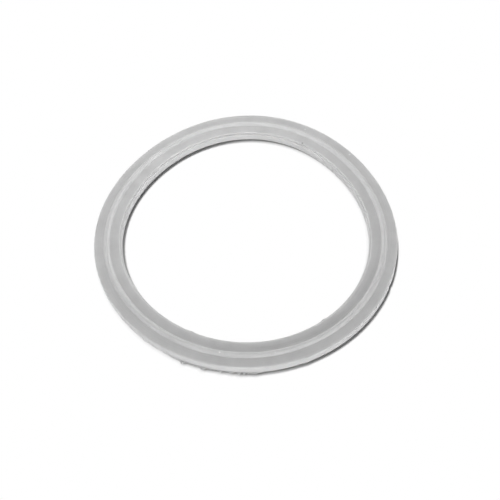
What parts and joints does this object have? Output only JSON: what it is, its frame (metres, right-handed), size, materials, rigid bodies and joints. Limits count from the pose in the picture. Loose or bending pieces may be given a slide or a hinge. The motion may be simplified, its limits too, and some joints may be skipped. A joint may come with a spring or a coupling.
{
  "type": "flange gasket",
  "caption": "Flat moulded silicone ring gasket with a half-round bead on each face, a small ledge around the bore and torn flash on its lower outer edge.",
  "frame": {"origin": "centre of the bore, half way up the thickness of the flat web", "axes": "+Z along the ring's axis towards the face that has the ledge, -Y towards the picture's viewer"},
  "size_m": [0.119, 0.1193, 0.006],
  "materials": {
    "silicone": "translucent grey-white silicone, satin"
  },
  "bodies": {
    "root": {"gasket_ring": "silicone"}
  },
  "joints": []
}
